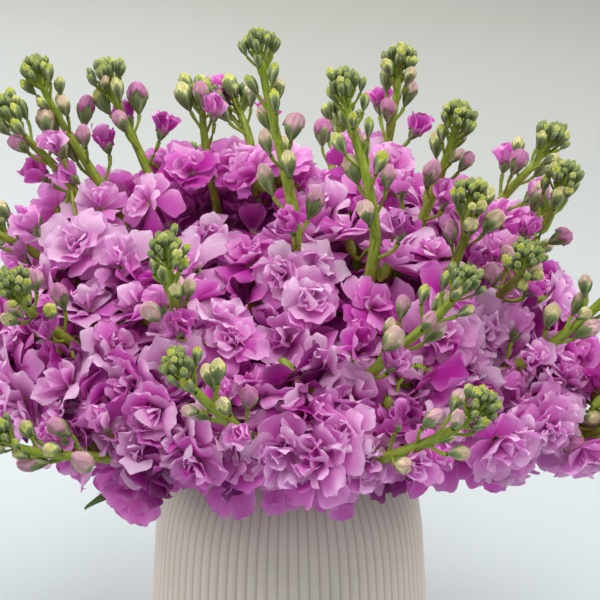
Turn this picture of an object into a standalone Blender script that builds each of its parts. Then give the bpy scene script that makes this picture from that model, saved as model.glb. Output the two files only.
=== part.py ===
"""Ribbed ceramic vase with a round bunch of double stock.

The origin is the centre of the vase's flat base, +Z is up, and -Y faces the viewer. All sizes are in metres.
Every spike of stock is one stem and, round the stem, one head of florets and buds. The heads share the room
between neighbouring stems, so none of them touch.
"""
import math

import bmesh
import bpy
import numpy as np
from mathutils import Vector

MM = 0.001
GAP = 0.3 * MM

# The vase: a barrel with a round shoulder, as radius and height of its outer side from the lip to the base
VASE_HEIGHT = 172 * MM
VASE_FLOOR = 6.5 * MM
VASE_STEPS = 48
VASE_OUTER = (
    (49.0, 172.0), (51.2, 171.2), (54.5, 168.0), (60.0, 161.5), (65.0, 153.0), (68.6, 143.5), (71.8, 127.0),
    (74.2, 102.0), (76.2, 76.0), (76.6, 56.0), (74.6, 34.0), (69.5, 13.0), (65.5, 3.5), (62.5, 0.7), (60.0, 0.0),
)
VASE_INNER = (
    (45.4, 170.8), (44.4, 168.5), (46.8, 165.0), (55.5, 157.0), (61.0, 149.0), (64.2, 141.0), (67.3, 126.0),
    (69.7, 101.0), (71.7, 75.5), (72.1, 56.0), (70.2, 35.0), (65.5, 16.0), (60.0, 8.2), (54.0, 6.5),
)

# Stems stand evenly spaced in two rings, of these radii at the vase's floor and at its mouth
RINGS = {"outer": (33 * MM, 36.5 * MM), "inner": (14 * MM, 19 * MM)}
STEM_RADIUS = 2.9 * MM
STEM_TIP_RADIUS = 1.7 * MM
STEM_TAPER_START = 0.78
STEM_SIDES = 8
STEM_POINTS = 16
TIP_RISE = 0.7

# Each spike: the point where its stem leaves the petals and the point of its tip, in mm from the mouth's centre,
# and the ring that its stem stands in
SPIKES = (
    ((-98, 30, 130), (-130, 34, 194), "outer"),
    ((-76, 36, 142), (-96, 44, 190), "inner"),
    ((-114, 24, 134), (-146, 22, 176), "outer"),
    ((-44, 44, 150), (-46, 56, 176), "inner"),
    ((-20, 40, 150), (-30, 58, 174), "inner"),
    ((5, -35, 116), (-14, -20, 220), "inner"),
    ((42, -45, 122), (26, -40, 206), "inner"),
    ((52, 45, 148), (59, 52, 196), "inner"),
    ((68, 0, 122), (84, -10, 182), "inner"),
    ((80, -43, 112), (87, -60, 158), "outer"),
    ((112, 40, 118), (142, 50, 154), "outer"),
    ((122, 6, 100), (139, -5, 150), "outer"),
    ((112, -50, 62), (164, -58, 120), "outer"),
    ((104, -24, 88), (112, -72, 130), "outer"),
    ((37, -85, 72), (82, -100, 130), "outer"),
    ((-49, -78, 90), (-52, -112, 150), "outer"),
    ((-19, -108, 54), (-48, -140, 106), "outer"),
    ((-108, -52, 78), (-126, -92, 124), "outer"),
    ((-122, 4, 96), (-170, 0, 132), "outer"),
    ((-134, 2, 28), (-184, 8, 56), "outer"),
    ((-86, -92, 34), (-132, -128, 66), "outer"),
    ((46, -114, 46), (88, -138, 86), "outer"),
    ((124, -44, 18), (180, -62, 50), "outer"),
    ((110, 86, 52), (150, 116, 94), "outer"),
    ((22, 92, 108), (30, 122, 148), "inner"),
    ((40, 131, 48), (56, 178, 88), "outer"),
    ((-44, 120, 72), (-60, 160, 110), "outer"),
    ((-114, 72, 56), (-168, 88, 90), "outer"),
)

# A head: where it starts along the stem, its widest radius among the florets, and its radius round the buds
HEAD_START = 30 * MM
HEAD_SPREAD = 0.46
HEAD_RADIUS = 35 * MM
BUD_RADIUS = 11 * MM
HEAD_TIP_RADIUS = 4 * MM
HEAD_SIDES = 10
HEAD_POINTS = 10
HEAD_CLEARANCE = 0.5 * MM
VASE_CLEARANCE = 1.0 * MM

# Leaves left on the stems below the heads: the number of the spike, how far above the mouth the leaf grows,
# and the leaf's middle and tip in mm from the mouth's centre
LEAF_WIDTH = 13 * MM
LEAF_THICKNESS = 1.0 * MM
LEAVES = (
    (21, 12 * MM, (-68, -60, 10), (-102, -66, -8)),
    (23, 12 * MM, (72, -30, 6), (90, -34, 0)),
    (26, 12 * MM, (22, 72, 6), (22, 92, -14)),
)

COLOURS = {
    "vase": (0.60, 0.57, 0.52),
    "stem": (0.20, 0.26, 0.08),
    "flower_head": (0.45, 0.16, 0.38),
    "leaf": (0.06, 0.10, 0.03),
}
ROUGHNESS = {"vase": 0.65, "stem": 0.55, "flower_head": 0.70, "leaf": 0.50}


def clear_scene():
    """Remove every object that the file starts with."""
    for obj in list(bpy.data.objects):
        bpy.data.objects.remove(obj, do_unlink=True)


def make_collection(name):
    """Make a collection under the scene's own."""
    collection = bpy.data.collections.new(name)
    bpy.context.scene.collection.children.link(collection)
    return collection


def make_material(name, kind):
    """Make the Principled material of one object."""
    material = bpy.data.materials.new(name)
    material.use_nodes = True
    shader = material.node_tree.nodes["Principled BSDF"]
    shader.inputs["Base Color"].default_value = (*COLOURS[kind], 1.0)
    shader.inputs["Roughness"].default_value = ROUGHNESS[kind]
    return material


def add_object(name, mesh, kind, collection):
    """Put a mesh in the collection as a named object with its own material, shaded smooth."""
    obj = bpy.data.objects.new(name, mesh)
    collection.objects.link(obj)
    mesh.materials.append(make_material(name, kind))
    mesh.shade_smooth()
    mesh.set_sharp_from_angle(angle=math.radians(40))
    return obj


def ring_azimuths():
    """Return each stem's azimuth in its ring: even steps, in the order in which the spikes leave the petals."""
    azimuths = [0.0] * len(SPIKES)
    for ring in RINGS:
        members = [i for i, spike in enumerate(SPIKES) if spike[2] == ring]
        wanted = {i: math.atan2(SPIKES[i][0][1], SPIKES[i][0][0]) for i in members}
        members.sort(key=wanted.get)
        step = 2 * math.pi / len(members)
        shift = sum(wanted[i] - k * step for k, i in enumerate(members)) / len(members)
        for k, i in enumerate(members):
            azimuths[i] = shift + k * step
    return azimuths


def stem_path(exit_point, tip, ring, azimuth):
    """Return the five points that guide one stem, from the vase's floor to the spike's tip."""
    floor_radius, mouth_radius = RINGS[ring]
    mouth_centre = Vector((0, 0, VASE_HEIGHT))
    leave = Vector(exit_point) * MM + mouth_centre
    end = Vector(tip) * MM + mouth_centre
    outwards = Vector((math.cos(azimuth), math.sin(azimuth), 0))
    foot = outwards * floor_radius + Vector((0, 0, VASE_FLOOR + GAP + 0.1 * MM))
    middle = outwards * (floor_radius * 0.6 + mouth_radius * 0.4) + Vector((0, 0, VASE_HEIGHT * 0.55))
    mouth = outwards * mouth_radius + Vector((0, 0, VASE_HEIGHT + 2 * MM))
    return foot, middle, mouth, leave, end


def smooth_line(points, count):
    """Return evenly spaced points on one smooth curve through the guide points, which turns up towards its tip."""
    guides = np.array([tuple(p) for p in points])
    steps = np.linalg.norm(np.diff(guides, axis=0), axis=1)
    knots = np.concatenate(([0.0], np.cumsum(steps)))
    tangents = np.empty_like(guides)
    tangents[1:-1] = (guides[2:] - guides[:-2]) / (knots[2:] - knots[:-2])[:, None]
    tangents[0] = (guides[1] - guides[0]) / steps[0]
    ending = (guides[-1] - guides[-2]) / steps[-1] + np.array((0, 0, TIP_RISE))
    tangents[-1] = ending / np.linalg.norm(ending)
    fine = []
    for i, step in enumerate(steps):
        for t in np.linspace(0, 1, 40, endpoint=(i == len(steps) - 1)):
            a = (2 * t**3 - 3 * t**2 + 1) * guides[i] + (t**3 - 2 * t**2 + t) * step * tangents[i]
            b = (3 * t**2 - 2 * t**3) * guides[i + 1] + (t**3 - t**2) * step * tangents[i + 1]
            fine.append(a + b)
    fine = np.array(fine)
    length = np.concatenate(([0.0], np.cumsum(np.linalg.norm(np.diff(fine, axis=0), axis=1))))
    places = np.linspace(0, length[-1], count)
    return np.column_stack([np.interp(places, length, fine[:, k]) for k in range(3)])


def tube(name, points, radii, sides):
    """Return a closed mesh tube through the points, with its own radius at each."""
    curve = bpy.data.curves.new(name, "CURVE")
    curve.dimensions = "3D"
    curve.bevel_depth = 1.0
    curve.bevel_resolution = sides // 2 - 2
    curve.resolution_u = 1
    curve.render_resolution_u = 0
    curve.use_fill_caps = True
    spline = curve.splines.new("POLY")
    spline.points.add(len(points) - 1)
    for point, place, radius in zip(spline.points, points, radii):
        point.co = (*place, 1.0)
        point.radius = radius
    obj = bpy.data.objects.new(name, curve)
    bpy.context.scene.collection.objects.link(obj)
    depsgraph = bpy.context.evaluated_depsgraph_get()
    mesh = bpy.data.meshes.new_from_object(obj.evaluated_get(depsgraph))
    bpy.data.objects.remove(obj, do_unlink=True)
    bpy.data.curves.remove(curve)
    work = bmesh.new()
    work.from_mesh(mesh)
    bmesh.ops.remove_doubles(work, verts=work.verts, dist=0.01 * MM)
    bmesh.ops.recalc_face_normals(work, faces=work.faces)
    work.to_mesh(mesh)
    work.free()
    mesh.name = name
    return mesh


def apply_modifiers(obj):
    """Replace an object's mesh with the result of its modifiers."""
    depsgraph = bpy.context.evaluated_depsgraph_get()
    mesh = bpy.data.meshes.new_from_object(obj.evaluated_get(depsgraph))
    old = obj.data
    obj.modifiers.clear()
    obj.data = mesh
    mesh.name = obj.name
    bpy.data.meshes.remove(old)


def build_vase(collection):
    """Turn the vase's shell, outside and inside, from one profile."""
    profile = [(0.0, VASE_FLOOR)]
    profile += [(r * MM, z * MM) for r, z in reversed(VASE_INNER)]
    profile += [(r * MM, z * MM) for r, z in VASE_OUTER]
    profile.append((0.0, 0.0))
    mesh = bpy.data.meshes.new("vase")
    edges = [(i, i + 1) for i in range(len(profile) - 1)]
    mesh.from_pydata([(r, 0.0, z) for r, z in profile], edges, [])
    obj = add_object("vase", mesh, "vase", collection)
    screw = obj.modifiers.new("turn", "SCREW")
    screw.axis = "Z"
    screw.steps = VASE_STEPS
    screw.render_steps = VASE_STEPS
    screw.use_merge_vertices = True
    screw.merge_threshold = 0.0001
    screw.use_smooth_shade = True
    apply_modifiers(obj)
    return obj


def stem_radii():
    """Return the radius at each point of a stem: even at first, then tapering to its tip."""
    share = np.linspace(0, 1, STEM_POINTS)
    return np.interp(share, (0, STEM_TAPER_START, 1), (STEM_RADIUS, STEM_RADIUS, STEM_TIP_RADIUS))


def build_stem(number, points, collection):
    """Make one stem: round, and tapering towards its tip."""
    name = f"stem_{number:02d}"
    mesh = tube(name, points, stem_radii(), STEM_SIDES)
    add_object(name, mesh, "stem", collection)


def between(points, count):
    """Return the points with more of them spaced evenly along each straight piece between them."""
    pieces = [np.linspace(a, b, count, endpoint=False) for a, b in zip(points, points[1:])]
    return np.concatenate(pieces + [points[-1:]])


def vase_surface():
    """Return points all over the upper outside of the vase, which the heads keep clear of."""
    rows = [(r, z) for r, z in VASE_OUTER if z > 60]
    turns = np.linspace(0, 2 * math.pi, 73)[:-1]
    return np.array([(r * math.cos(a), r * math.sin(a), z) for r, z in rows for a in turns]) * MM


def above_mouth(line):
    """Return how far along the stem each point of its line lies from the vase's mouth."""
    length = np.concatenate(([0.0], np.cumsum(np.linalg.norm(np.diff(line, axis=0), axis=1))))
    return length - length[np.argmax(line[:, 2] > VASE_HEIGHT)]


def leaf_midrib(line, place, middle, tip, count):
    """Return points along one leaf's midrib, which starts on the underside of its stem."""
    above = above_mouth(line)
    at = int(np.argmin(abs(above - place)))
    along = Vector(line[at + 1] - line[at - 1]).normalized()
    under = (along * along.z - Vector((0, 0, 1))).normalized()
    root = Vector(line[at]) + under * (STEM_RADIUS + GAP + LEAF_THICKNESS / 2)
    middle, tip = (Vector(p) * MM + Vector((0, 0, VASE_HEIGHT)) for p in (middle, tip))
    midrib = []
    for i in range(count):
        t = i / (count - 1)
        midrib.append(root * (1 - t) ** 2 + middle * (2 * t * (1 - t)) + tip * t**2)
    return midrib


def head_sections(index, lines, keep_outs):
    """Return the points and radii of one head, as wide as its neighbours leave room for."""
    line = lines[index]
    above = above_mouth(line)
    places = np.linspace(HEAD_START, above[-1] + 2 * MM, HEAD_POINTS)
    points = np.column_stack([np.interp(places, above, line[:, k]) for k in range(3)])
    points[-1] = line[-1] + (line[-1] - line[-2]) / np.linalg.norm(line[-1] - line[-2]) * 4 * MM
    exit_place = above[-1] - np.linalg.norm(Vector(SPIKES[index][1]) - Vector(SPIKES[index][0])) * MM
    radii = []
    for point, place in zip(points, places):
        wide = min(HEAD_SPREAD * place, HEAD_RADIUS)
        beyond = (place - exit_place) / (above[-1] - exit_place)
        if beyond > -0.35:
            share = min(1.0, (beyond + 0.35) / 0.75)
            wide += (BUD_RADIUS - wide) * share * share * (3 - 2 * share)
        if beyond > 0.4:
            wide += (HEAD_TIP_RADIUS - wide) * ((beyond - 0.4) / 0.6) ** 2
        others = np.concatenate([other for k, other in enumerate(lines) if k != index])
        wide = min(wide, np.linalg.norm(others - point, axis=1).min() / 2 - HEAD_CLEARANCE)
        for surface, clearance in keep_outs:
            wide = min(wide, np.linalg.norm(surface - point, axis=1).min() - clearance)
        radii.append(wide)
    return points, radii


def build_head(index, points, radii, stem_points, collection):
    """Make one head of florets and buds round its stem, with a bore that clears the stem."""
    name = f"flower_head_{index + 1:02d}"
    mesh = tube(name, points, radii, HEAD_SIDES)
    head = add_object(name, mesh, "flower_head", collection)
    bore_radii = stem_radii() + GAP / math.cos(math.pi / STEM_SIDES)
    bore_points = stem_points.copy()
    direction = (bore_points[-1] - bore_points[-2]) / np.linalg.norm(bore_points[-1] - bore_points[-2])
    bore_points[-1] = bore_points[-1] + direction * GAP
    bore_mesh = tube(name + "_bore", bore_points, bore_radii, STEM_SIDES)
    bore = bpy.data.objects.new(name + "_bore", bore_mesh)
    cutters.objects.link(bore)
    bore.hide_render = True
    bore.display_type = "WIRE"
    cut = head.modifiers.new("stem bore", "BOOLEAN")
    cut.operation = "DIFFERENCE"
    cut.solver = "EXACT"
    cut.object = bore
    apply_modifiers(head)
    bpy.data.objects.remove(bore, do_unlink=True)
    bpy.data.meshes.remove(bore_mesh)
    return head


def build_leaf(number, midrib, collection):
    """Make one leaf blade: a narrow grid laid along its midrib, then thickened."""
    rows = len(midrib)
    name = f"leaf_{number:02d}"
    work = bmesh.new()
    bmesh.ops.create_grid(work, x_segments=2, y_segments=rows - 1, size=1.0)
    for vert in work.verts:
        across = vert.co.x
        along = (vert.co.y + 1) / 2
        row = round(along * (rows - 1))
        ahead = midrib[min(row + 1, rows - 1)] - midrib[max(row - 1, 0)]
        side = ahead.cross(Vector((0, 0, 1))).normalized()
        half = LEAF_WIDTH / 2 * (0.30 + 0.70 * math.sin(math.pi * min(1.0, along + 0.12) ** 0.8))
        vert.co = midrib[row] + side * across * half + Vector((0, 0, 1)) * abs(across) * 1.2 * MM
    mesh = bpy.data.meshes.new(name)
    bmesh.ops.recalc_face_normals(work, faces=work.faces)
    work.to_mesh(mesh)
    work.free()
    obj = add_object(name, mesh, "leaf", collection)
    solid = obj.modifiers.new("thickness", "SOLIDIFY")
    solid.thickness = LEAF_THICKNESS
    solid.offset = 0.0
    apply_modifiers(obj)
    return obj


clear_scene()
parts = make_collection("stock flower in vase")
cutters = make_collection("cutters")

build_vase(parts)
paths = [stem_path(*spike, azimuth) for spike, azimuth in zip(SPIKES, ring_azimuths())]
stems = [smooth_line(path, STEM_POINTS) for path in paths]
lines = [between(points, 8) for points in stems]
midribs = [leaf_midrib(lines[spike - 1], *leaf, 25) for spike, *leaf in LEAVES]
leaf_points = np.array([tuple(point) for midrib in midribs for point in midrib])
keep_outs = ((vase_surface(), VASE_CLEARANCE), (leaf_points, LEAF_WIDTH / 2 + 1 * MM))
for i, stem_points in enumerate(stems):
    build_stem(i + 1, stem_points, parts)
    head_points, head_radii = head_sections(i, lines, keep_outs)
    build_head(i, head_points, head_radii, stem_points, parts)
for i, midrib in enumerate(midribs):
    build_leaf(i + 1, midrib[::3], parts)
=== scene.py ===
"""Visual model of a bunch of lilac-pink double stock in a ribbed off-white vase.

Lengths are in millimetres until a mesh is made, and points on the flowers are measured from the centre of the
vase's mouth, as in the part's own table of spikes. +Z is up and -Y faces the viewer.
"""
import math

import bpy
import numpy as np
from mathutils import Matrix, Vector


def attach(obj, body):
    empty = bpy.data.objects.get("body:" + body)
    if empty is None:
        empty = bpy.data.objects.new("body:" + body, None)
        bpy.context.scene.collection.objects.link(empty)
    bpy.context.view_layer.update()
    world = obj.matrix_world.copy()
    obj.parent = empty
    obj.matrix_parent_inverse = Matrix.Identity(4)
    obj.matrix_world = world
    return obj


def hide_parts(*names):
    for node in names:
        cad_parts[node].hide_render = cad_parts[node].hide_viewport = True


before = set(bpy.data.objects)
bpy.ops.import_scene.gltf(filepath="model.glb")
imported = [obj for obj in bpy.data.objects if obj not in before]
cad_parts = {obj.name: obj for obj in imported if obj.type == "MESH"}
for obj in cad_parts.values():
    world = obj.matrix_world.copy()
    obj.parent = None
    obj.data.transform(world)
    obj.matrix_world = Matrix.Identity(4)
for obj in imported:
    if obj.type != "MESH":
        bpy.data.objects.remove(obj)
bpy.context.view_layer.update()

MM = 0.001
GOLDEN_ANGLE = math.radians(137.508)

# The photograph's frame: a square of 600 px, seen from 22 degrees above and 0.85 m away
CAMERA_ELEVATION = math.radians(22)
CAMERA_DISTANCE = 850.0
CAMERA_TARGET = np.array((6.0, 0.0, 250.0))
FOCAL_PX = 1640.0
IMAGE_PX = 600.0
SENSOR_MM = 36.0

# The vase, as radius and height of its sides from the lip to the base
VASE_HEIGHT = 172.0
VASE_FLOOR = 6.5
VASE_OUTER = (
    (49.0, 172.0), (51.2, 171.2), (54.5, 168.0), (60.0, 161.5), (65.0, 153.0), (68.6, 143.5), (71.8, 127.0),
    (74.2, 102.0), (76.2, 76.0), (76.6, 56.0), (74.6, 34.0), (69.5, 13.0), (65.5, 3.5), (62.5, 0.7), (60.0, 0.0),
)
VASE_INNER = (
    (54.0, 6.5), (60.0, 8.2), (65.5, 16.0), (70.2, 35.0), (72.1, 56.0), (71.7, 75.5), (69.7, 101.0), (67.3, 126.0),
    (64.2, 141.0), (61.0, 149.0), (55.5, 157.0), (46.8, 165.0), (44.4, 168.5), (45.4, 170.8), (49.0, 172.0),
)
RIBS = 84
RIB_DEPTH = 0.80

# The spikes, as in the part: where the stem leaves the petals, its tip, and the ring that it stands in
RINGS = {"outer": (33.0, 36.5), "inner": (14.0, 19.0)}
STEM_FOOT = 6.9
STEM_RADIUS = 2.9
STEM_TIP_RADIUS = 1.7
STEM_TAPER_START = 0.78
TIP_RISE = 0.7
SPIKES = (
    ((-98, 30, 130), (-130, 34, 194), "outer"),
    ((-76, 36, 142), (-96, 44, 190), "inner"),
    ((-114, 24, 134), (-146, 22, 176), "outer"),
    ((-44, 44, 150), (-46, 56, 176), "inner"),
    ((-20, 40, 150), (-30, 58, 174), "inner"),
    ((5, -35, 116), (-14, -20, 220), "inner"),
    ((42, -45, 122), (26, -40, 206), "inner"),
    ((52, 45, 148), (59, 52, 196), "inner"),
    ((68, 0, 122), (84, -10, 182), "inner"),
    ((80, -43, 112), (87, -60, 158), "outer"),
    ((112, 40, 118), (142, 50, 154), "outer"),
    ((122, 6, 100), (139, -5, 150), "outer"),
    ((112, -50, 62), (164, -58, 120), "outer"),
    ((104, -24, 88), (112, -72, 130), "outer"),
    ((37, -85, 72), (82, -100, 130), "outer"),
    ((-49, -78, 90), (-52, -112, 150), "outer"),
    ((-19, -108, 54), (-48, -140, 106), "outer"),
    ((-108, -52, 78), (-126, -92, 124), "outer"),
    ((-122, 4, 96), (-170, 0, 132), "outer"),
    ((-134, 2, 28), (-184, 8, 56), "outer"),
    ((-86, -92, 34), (-132, -128, 66), "outer"),
    ((46, -114, 46), (88, -138, 86), "outer"),
    ((124, -44, 18), (180, -62, 50), "outer"),
    ((110, 86, 52), (150, 116, 94), "outer"),
    ((22, 92, 108), (30, 122, 148), "inner"),
    ((40, 131, 48), (56, 178, 88), "outer"),
    ((-44, 120, 72), (-60, 160, 110), "outer"),
    ((-114, 72, 56), (-168, 88, 90), "outer"),
)

# The dome that the outermost florets fill: radius and height of its outline, from the top round to the vase
DOME = (
    (0.0, 154.0), (30.0, 153.0), (62.0, 148.0), (95.0, 136.0), (124.0, 115.0), (147.0, 90.0), (162.0, 62.0),
    (168.0, 38.0), (160.0, 20.0), (144.0, 7.0), (118.0, 0.0), (92.0, 3.0),
)
# It is narrower from front to back, wider at both sides and widest and highest at the left, and lower in front
DOME_DEPTH = 0.82
SIDE_SHOULDER = 0.09
LEFT_SHOULDER = 0.20
LEFT_LIFT = 16.0
FRONT_DROP = 30.0
# The florets stand this far apart, in an outer layer and an under layer that lies deeper in the dome
FLORET_STEP = 28.5
OUTER_DEPTH = 8.0
UNDER_STEP = 34.0
UNDER_DEPTH = 36.0
# A floret's radius, and how far its green calyx reaches below its petals
FLORET_SIZE = 21.0
CALYX = 8.0

# Florets stand out near their spike's stem and sink towards the grooves between the spikes
CELL_RADIUS = 40.0
BULGE = 9.0
GROOVE = 29.0
STEM_CLEARING = 15.0
# How low the petals hang, across the bunch from left to right
EDGE_X = (-165.0, -130.0, -102.0, -78.0, 5.0, 28.0, 80.0, 104.0, 136.0, 168.0)
EDGE_Z = (14.0, 8.0, -3.0, -6.0, -3.0, 4.0, 3.0, -4.0, 0.0, 6.0)
# Florets to the right of this, whose outward direction rises less than the second number, hang free of the
# stems above them
FREE_FROM = 95.0
FREE_RISE = 0.2
# Painted shade: the lowest florets are given a deeper colour, and those of the under layer, which lies deep in the
# dome, the deepest
LOW_SHADE = -0.08
UNDER_SHADE = -0.66
# Below this height the under layer is seen, and has whole florets
LOW_EDGE = 28.0
# Painted shade: petals are darker where they lie deeper in the dome and paler where they stand out, by this much a
# millimetre, and no darker than the least tone, which is higher for the lowest florets
DEPTH_SHADE = 0.026
LEAST_TONE = 0.10
LEAST_LOW_TONE = 0.34
# Under a bare stem the florets lie lower, so that it shows: how far to each side, how far below it and at most
VALLEY_WIDTH = 31.0
VALLEY_DEPTH = 13.0
VALLEY_MOST = 34.0
# Spikes whose stems the petals hide, but for this much at the tip
BURIED = (23,)
BURIED_TIP = 16.0
# Along a spike above its petals: half-open florets, then loose buds, then a crown this far below the stem's tip
HALF_OPEN_BUDS = 2
CROWN_BUDS = 22
CROWN_DROP = 5.0
CROWN_LENGTH = 11.0

# One petal's outline: shares of its length, and of its half width there
PETAL_ROWS = (0.0, 0.22, 0.44, 0.65, 0.83, 0.95, 1.0)
PETAL_WIDTHS = (0.13, 0.42, 0.78, 0.98, 1.0, 0.84, 0.58)
PETAL_COLUMNS = 9
# The whorls of a floret, from its outer petals to its heart: how many petals, their length and width as shares
# of the floret's radius, how far they lean from its axis at their foot and tip in degrees, and how much they fold
FLAT_WHORLS = (
    (5, 1.00, 0.82, 64, 110, 0.04),
    (5, 0.88, 0.72, 46, 88, 0.12),
    (4, 0.70, 0.56, 22, 62, 0.45),
    (4, 0.50, 0.42, 4, 32, 0.75),
)
LOOSE_WHORLS = (
    (5, 1.04, 0.84, 66, 116, 0.04),
    (4, 0.86, 0.70, 40, 84, 0.20),
    (5, 0.64, 0.42, 12, 52, 0.80),
)
CUPPED_WHORLS = (
    (5, 0.96, 0.80, 46, 80, 0.05),
    (5, 0.86, 0.70, 34, 64, 0.15),
    (5, 0.72, 0.54, 14, 42, 0.50),
    (3, 0.52, 0.40, 2, 22, 0.80),
)
HALF_OPEN_WHORLS = (
    (4, 0.90, 0.74, 20, 22, 0.15),
    (4, 0.82, 0.62, 8, 8, 0.35),
)


class Parts:
    """Collects grids of points, with a vector attribute at each, until they become one mesh."""

    def __init__(self):
        self.points = []
        self.faces = []
        self.places = []
        self.kinds = []
        self.count = 0

    def grids(self, points, places, around=False, kind=0):
        """Add many grids at once: points has the shape (grids, rows, columns, 3), and places the same."""
        number, rows, columns, _ = points.shape
        cells = np.arange(rows * columns).reshape(rows, columns)
        if around:
            cells = np.concatenate([cells, cells[:, :1]], axis=1)
        quads = np.stack([cells[:-1, :-1], cells[:-1, 1:], cells[1:, 1:], cells[1:, :-1]], axis=-1).reshape(-1, 4)
        starts = self.count + np.arange(number)[:, None, None] * rows * columns
        self.faces.append((quads[None] + starts).reshape(-1, 4))
        self.kinds.append(np.full(number * len(quads), kind))
        self.points.append(points.reshape(-1, 3))
        self.places.append(np.broadcast_to(places, points.shape).reshape(-1, 3))
        self.count += number * rows * columns

    def mesh(self, name):
        """Make the mesh, in metres and with its origin at the vase's base."""
        points = (np.concatenate(self.points) + (0.0, 0.0, VASE_HEIGHT)) * MM
        faces = np.concatenate(self.faces)
        mesh = bpy.data.meshes.new(name)
        mesh.vertices.add(len(points))
        mesh.vertices.foreach_set("co", points.astype(np.float32).ravel())
        mesh.loops.add(len(faces) * 4)
        mesh.loops.foreach_set("vertex_index", faces.astype(np.int32).ravel())
        mesh.polygons.add(len(faces))
        mesh.polygons.foreach_set("loop_start", np.arange(0, len(faces) * 4, 4, dtype=np.int32))
        mesh.polygons.foreach_set("material_index", np.concatenate(self.kinds).astype(np.int32))
        mesh.update(calc_edges=True)
        place = mesh.attributes.new("place", "FLOAT_VECTOR", "POINT")
        place.data.foreach_set("vector", np.concatenate(self.places).astype(np.float32).ravel())
        mesh.shade_smooth()
        mesh.validate()
        return mesh


def add_piece(name, mesh, materials, slot, *nodes):
    """Show a mesh as a piece of the object, in place of the CAD nodes that it stands for."""
    for material in materials:
        mesh.materials.append(material)
    piece = bpy.data.objects.new(name, mesh)
    bpy.context.scene.collection.objects.link(piece)
    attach(piece, "root")
    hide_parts(*nodes)
    return piece


def unit(vectors):
    """Return vectors scaled to length 1."""
    vectors = np.asarray(vectors, dtype=float)
    return vectors / np.maximum(np.linalg.norm(vectors, axis=-1, keepdims=True), 1e-9)


def frames_along(directions, spin):
    """Return a side and an up vector for each direction, turned about it by an angle."""
    directions = unit(directions)
    helper = np.where(np.abs(directions[..., 2:3]) > 0.9, (1.0, 0.0, 0.0), (0.0, 0.0, 1.0))
    side = unit(np.cross(directions, helper))
    up = np.cross(directions, side)
    spin = np.asarray(spin)[..., None]
    return side * np.cos(spin) + up * np.sin(spin), up * np.cos(spin) - side * np.sin(spin)


# The stems' lines

def ring_azimuths():
    """Return each stem's azimuth in its ring: even steps, in the order in which the spikes leave the petals."""
    azimuths = [0.0] * len(SPIKES)
    for ring in RINGS:
        members = [i for i, spike in enumerate(SPIKES) if spike[2] == ring]
        wanted = {i: math.atan2(SPIKES[i][0][1], SPIKES[i][0][0]) for i in members}
        members.sort(key=wanted.get)
        step = 2 * math.pi / len(members)
        shift = sum(wanted[i] - k * step for k, i in enumerate(members)) / len(members)
        for k, i in enumerate(members):
            azimuths[i] = shift + k * step
    return azimuths


def stem_line(exit_point, tip, ring, azimuth, count):
    """Return evenly spaced points along one stem, from the vase's floor to the spike's tip."""
    floor_radius, mouth_radius = RINGS[ring]
    outwards = np.array((math.cos(azimuth), math.sin(azimuth), 0.0))
    guides = np.array((
        outwards * floor_radius + (0, 0, STEM_FOOT - VASE_HEIGHT),
        outwards * (floor_radius * 0.6 + mouth_radius * 0.4) + (0, 0, -VASE_HEIGHT * 0.45),
        outwards * mouth_radius + (0, 0, 2.0),
        exit_point,
        tip,
    ))
    steps = np.linalg.norm(np.diff(guides, axis=0), axis=1)
    knots = np.concatenate(([0.0], np.cumsum(steps)))
    tangents = np.empty_like(guides)
    tangents[1:-1] = (guides[2:] - guides[:-2]) / (knots[2:] - knots[:-2])[:, None]
    tangents[0] = (guides[1] - guides[0]) / steps[0]
    tangents[-1] = unit((guides[-1] - guides[-2]) / steps[-1] + (0, 0, TIP_RISE))
    t = np.linspace(0, 1, 40)[:-1, None]
    fine = [
        (2 * t**3 - 3 * t**2 + 1) * guides[i] + (t**3 - 2 * t**2 + t) * step * tangents[i]
        + (3 * t**2 - 2 * t**3) * guides[i + 1] + (t**3 - t**2) * step * tangents[i + 1]
        for i, step in enumerate(steps)
    ]
    fine = np.concatenate(fine + [guides[-1:]])
    length = np.concatenate(([0.0], np.cumsum(np.linalg.norm(np.diff(fine, axis=0), axis=1))))
    places = np.linspace(0, length[-1], count)
    return np.column_stack([np.interp(places, length, fine[:, k]) for k in range(3)])


def along_line(line):
    """Return how far above the vase's mouth, along the stem, each point of its line lies."""
    length = np.concatenate(([0.0], np.cumsum(np.linalg.norm(np.diff(line, axis=0), axis=1))))
    return length - length[np.argmax(line[:, 2] > 0)]


# Petals and florets

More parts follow.
